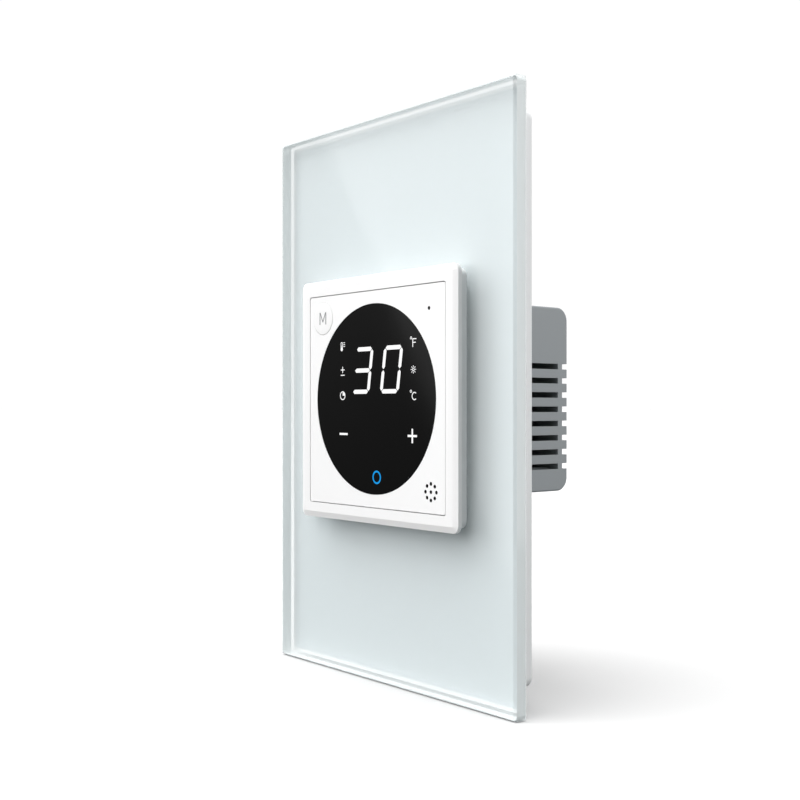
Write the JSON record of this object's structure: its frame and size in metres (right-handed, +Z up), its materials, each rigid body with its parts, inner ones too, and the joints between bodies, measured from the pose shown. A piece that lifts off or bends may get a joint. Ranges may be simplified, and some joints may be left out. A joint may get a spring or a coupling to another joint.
{
  "type": "wall thermostat",
  "caption": "Flush wall thermostat: tall glass panel, square display unit with a round black window and a push button, and a vented power housing behind.",
  "frame": {"origin": "on the wall plane, midway between the two box screw holes", "axes": "+Z up along the panel's length, +X right as seen from the room, +Y into the wall"},
  "size_m": [0.081, 0.0392, 0.125],
  "materials": {
    "clear_glass": "polished, ground edges",
    "film_white": "pale bluish white coating",
    "foam_tape": "closed-cell foam",
    "white_plastic": "fine satin moulding",
    "bezel_white": "satin gloss",
    "button_white": "satin",
    "black_window": "polished black",
    "grey_plastic": "fine spark texture",
    "circuit_board": "solder mask",
    "reflector_white": "matt",
    "diffuser_milk": "milky",
    "black_plastic": "satin",
    "steel": "zinc plated",
    "brass": "nickel-free, plain",
    "tin": "tinned",
    "soft_rubber": "soft",
    "relay_blue": "satin",
    "ferrite": "sintered",
    "tape_yellow": "polyester tape",
    "sleeve_black": "shrink sleeve",
    "fuse_brown": "moulded",
    "varistor_blue": "dipped epoxy",
    "bead_dark": "dipped epoxy",
    "led_clear": "clear"
  },
  "bodies": {
    "base": {"base_frame": "white_plastic", "power_housing": "grey_plastic", "power_cover": "grey_plastic", "power_board": "circuit_board", "socket_header": "black_plastic", "relay": "relay_blue", "transformer_core": "ferrite", "transformer_coil": "tape_yellow", "capacitor": "sleeve_black", "fuse": "fuse_brown", "varistor": "varistor_blue", "housing_screws": "steel", "terminal_block": "black_plastic", "terminal_contacts": "tin"},
    "front_panel": {"glass_panel": "clear_glass", "colour_film": "film_white", "bonding_tape": "foam_tape", "panel_carrier": "white_plastic"},
    "display_unit": {"front_housing": "white_plastic", "bezel": "bezel_white", "face_plate": "bezel_white", "display_window": "black_window", "tactile_switch": "steel", "display_board": "circuit_board", "segment_display": "reflector_white", "diffuser": "diffuser_milk", "touch_springs": "steel", "air_sensor": "bead_dark", "sensor_shroud": "soft_rubber", "status_light": "led_clear", "pin_header": "tin", "board_screws": "steel"},
    "mode_button": {"mode_button": "button_white"},
    "switch_stem": {"switch_stem": "black_plastic"},
    "terminal_screw_1": {"terminal_screw_1": "steel"},
    "terminal_clamp_1": {"terminal_clamp_1": "brass"},
    "terminal_screw_2": {"terminal_screw_2": "steel"},
    "terminal_clamp_2": {"terminal_clamp_2": "brass"},
    "terminal_screw_3": {"terminal_screw_3": "steel"},
    "terminal_clamp_3": {"terminal_clamp_3": "brass"},
    "terminal_screw_4": {"terminal_screw_4": "steel"},
    "terminal_clamp_4": {"terminal_clamp_4": "brass"},
    "terminal_screw_5": {"terminal_screw_5": "steel"},
    "terminal_clamp_5": {"terminal_clamp_5": "brass"},
    "terminal_screw_6": {"terminal_screw_6": "steel"},
    "terminal_clamp_6": {"terminal_clamp_6": "brass"}
  },
  "joints": [
    {"name": "panel_pull", "type": "slide", "parent": "base", "child": "front_panel", "axis": [0, -1, 0], "range_m": [0, 0.008]},
    {"name": "display_pull", "type": "slide", "parent": "front_panel", "child": "display_unit", "axis": [0, -1, 0], "range_m": [0, 0.016]},
    {"name": "mode_press", "type": "slide", "parent": "display_unit", "child": "mode_button", "axis": [0, 1, 0], "range_m": [0, 0.0004], "stiffness_N_per_m": 400, "springref_m": -0.0008},
    {"name": "switch_travel", "type": "slide", "parent": "display_unit", "child": "switch_stem", "axis": [0, 1, 0], "range_m": [0, 0.0004]},
    {"name": "screw_1_turn", "type": "hinge", "parent": "base", "child": "terminal_screw_1", "pos_m": [-0.0125, 0.02, 0.0138], "axis": [0, -1, 0], "range_deg": [0, 1440]},
    {"name": "clamp_1_rise", "type": "slide", "parent": "base", "child": "terminal_clamp_1", "axis": [0, 1, 0], "range_m": [0, 0.002]},
    {"name": "screw_2_turn", "type": "hinge", "parent": "base", "child": "terminal_screw_2", "pos_m": [-0.0075, 0.02, 0.0138], "axis": [0, -1, 0], "range_deg": [0, 1440]},
    {"name": "clamp_2_rise", "type": "slide", "parent": "base", "child": "terminal_clamp_2", "axis": [0, 1, 0], "range_m": [0, 0.002]},
    {"name": "screw_3_turn", "type": "hinge", "parent": "base", "child": "terminal_screw_3", "pos_m": [-0.0025, 0.02, 0.0138], "axis": [0, -1, 0], "range_deg": [0, 1440]},
    {"name": "clamp_3_rise", "type": "slide", "parent": "base", "child": "terminal_clamp_3", "axis": [0, 1, 0], "range_m": [0, 0.002]},
    {"name": "screw_4_turn", "type": "hinge", "parent": "base", "child": "terminal_screw_4", "pos_m": [0.0025, 0.02, 0.0138], "axis": [0, -1, 0], "range_deg": [0, 1440]},
    {"name": "clamp_4_rise", "type": "slide", "parent": "base", "child": "terminal_clamp_4", "axis": [0, 1, 0], "range_m": [0, 0.002]},
    {"name": "screw_5_turn", "type": "hinge", "parent": "base", "child": "terminal_screw_5", "pos_m": [0.0075, 0.02, 0.0138], "axis": [0, -1, 0], "range_deg": [0, 1440]},
    {"name": "clamp_5_rise", "type": "slide", "parent": "base", "child": "terminal_clamp_5", "axis": [0, 1, 0], "range_m": [0, 0.002]},
    {"name": "screw_6_turn", "type": "hinge", "parent": "base", "child": "terminal_screw_6", "pos_m": [0.0125, 0.02, 0.0138], "axis": [0, -1, 0], "range_deg": [0, 1440]},
    {"name": "clamp_6_rise", "type": "slide", "parent": "base", "child": "terminal_clamp_6", "axis": [0, 1, 0], "range_m": [0, 0.002]}
  ],
  "couplings": [
    {"joint": "switch_travel", "follows": "mode_press", "ratio": 1},
    {"joint": "screw_1_turn", "follows": "clamp_1_rise", "rad_per_m": 12566},
    {"joint": "screw_2_turn", "follows": "clamp_2_rise", "rad_per_m": 12566},
    {"joint": "screw_3_turn", "follows": "clamp_3_rise", "rad_per_m": 12566},
    {"joint": "screw_4_turn", "follows": "clamp_4_rise", "rad_per_m": 12566},
    {"joint": "screw_5_turn", "follows": "clamp_5_rise", "rad_per_m": 12566},
    {"joint": "screw_6_turn", "follows": "clamp_6_rise", "rad_per_m": 12566}
  ]
}
